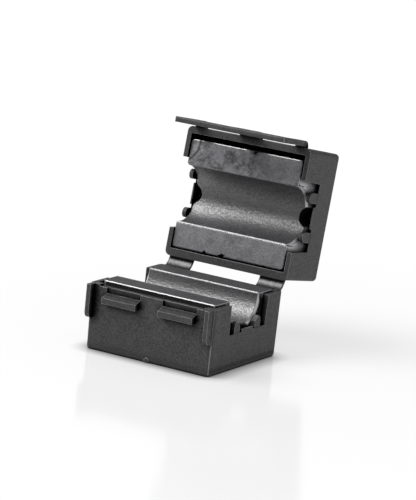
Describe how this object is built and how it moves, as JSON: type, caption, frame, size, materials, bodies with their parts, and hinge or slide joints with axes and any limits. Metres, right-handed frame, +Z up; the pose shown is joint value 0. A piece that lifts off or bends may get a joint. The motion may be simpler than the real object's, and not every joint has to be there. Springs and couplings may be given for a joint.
{
  "type": "clip-on ferrite cable core",
  "caption": "Open clip-on ferrite core: a plastic case in two strap-hinged halves, each holding a half-round ferrite trough, with a slotted latch flap over wedge catches.",
  "frame": {"origin": "middle of the lower half's flat underside", "axes": "+X along the cable, -Y towards the latch side, +Y towards the strap hinge, +Z up"},
  "size_m": [0.032, 0.0534, 0.05],
  "materials": {
    "case_plastic": "fine spark-eroded texture, moulded black nylon",
    "ferrite": "sintered, ground on the mating faces"
  },
  "bodies": {
    "base": {"base_shell": "case_plastic", "core_lower": "ferrite", "hinge_strap_left": "case_plastic", "hinge_strap_right": "case_plastic"},
    "lid": {"lid_shell": "case_plastic", "core_upper": "ferrite"},
    "latch": {"latch_flap": "case_plastic"}
  },
  "joints": [
    {"name": "lid_hinge", "type": "hinge", "parent": "base", "child": "lid", "pos_m": [0, 0.0164, 0.0156], "axis": [1, 0, 0], "range_deg": [-80, 100], "deforming": ["hinge_strap_left", "hinge_strap_right", "latch_flap"]},
    {"name": "latch_flex", "type": "hinge", "parent": "lid", "child": "latch", "pos_m": [0, 0.02094, 0.04767], "axis": [-1, 0, 0], "range_deg": [0, 24], "stiffness_Nm_per_rad": 0.08}
  ]
}
